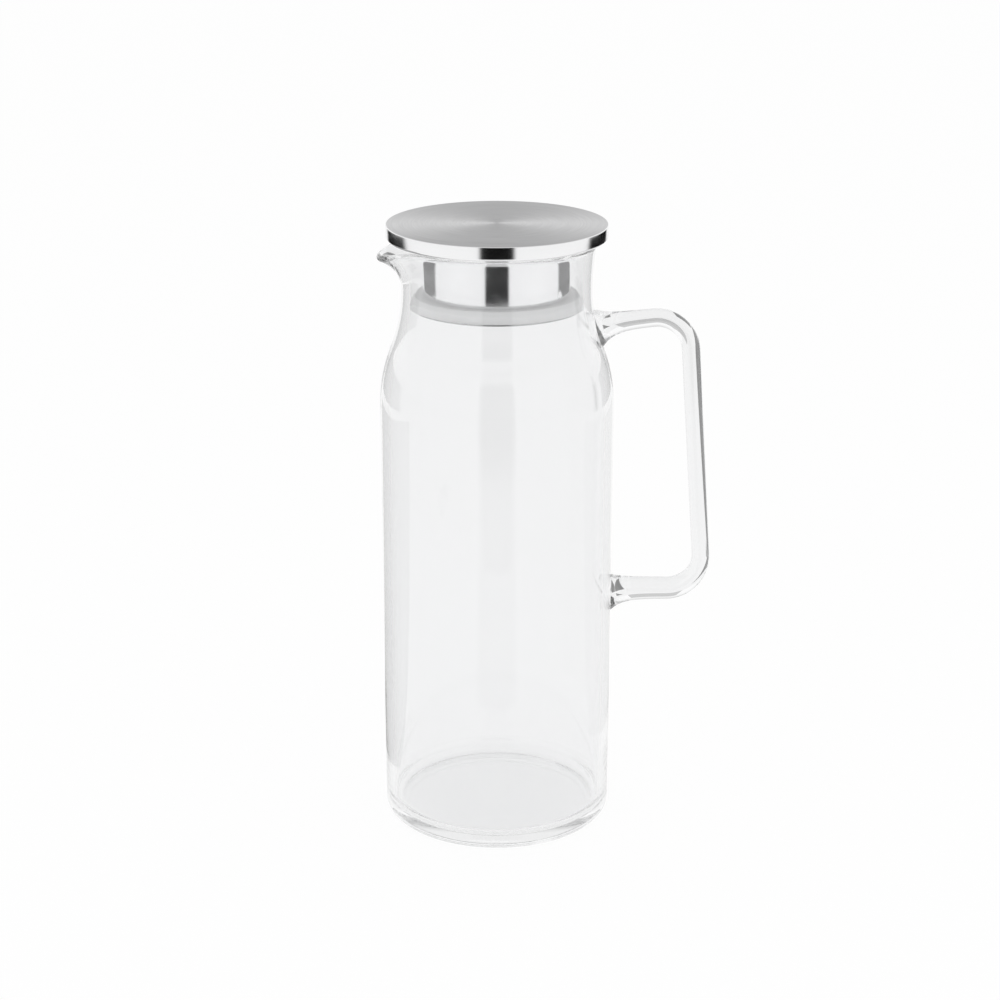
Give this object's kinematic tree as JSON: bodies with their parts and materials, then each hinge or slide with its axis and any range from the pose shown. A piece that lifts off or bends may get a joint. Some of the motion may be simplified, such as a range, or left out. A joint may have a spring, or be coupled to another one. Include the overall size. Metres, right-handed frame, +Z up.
{
  "type": "glass pitcher with lid",
  "caption": "Tall clear glass pitcher with a pulled spout, a bent glass rod handle and a steel plug lid that lifts out of the neck.",
  "frame": {"origin": "centre of the flat base that the pitcher stands on, on the jug's axis", "axes": "+Z up along the jug's axis, +X towards the handle, -X towards the spout"},
  "size_m": [0.1399, 0.0974, 0.26],
  "materials": {
    "jug_glass": "clear blown borosilicate glass",
    "handle_glass": "clear solid glass rod",
    "cap_steel": "circular brushed top, polished band",
    "liner_plastic": "moulded, matte",
    "sleeve_steel": "polished",
    "core_plastic": "moulded, matte",
    "seal_silicone": "milky translucent silicone",
    "base_steel": "satin",
    "screw_steel": "satin"
  },
  "bodies": {
    "pitcher": {"glass_body": "jug_glass", "handle": "handle_glass"},
    "seal": {"seal_ring": "seal_silicone"},
    "lid": {"lid_cap": "cap_steel", "lid_liner": "liner_plastic", "plug_sleeve": "sleeve_steel", "plug_core": "core_plastic", "plug_base": "base_steel", "plug_screw": "screw_steel"}
  },
  "joints": [
    {"name": "lid_lift", "type": "slide", "parent": "pitcher", "child": "seal", "axis": [0, 0, 1], "range_m": [0, 0.06]},
    {"name": "lid_turn", "type": "hinge", "parent": "seal", "child": "lid", "pos_m": [0, 0, 0.2293], "axis": [0, 0, 1], "continuous": true}
  ]
}
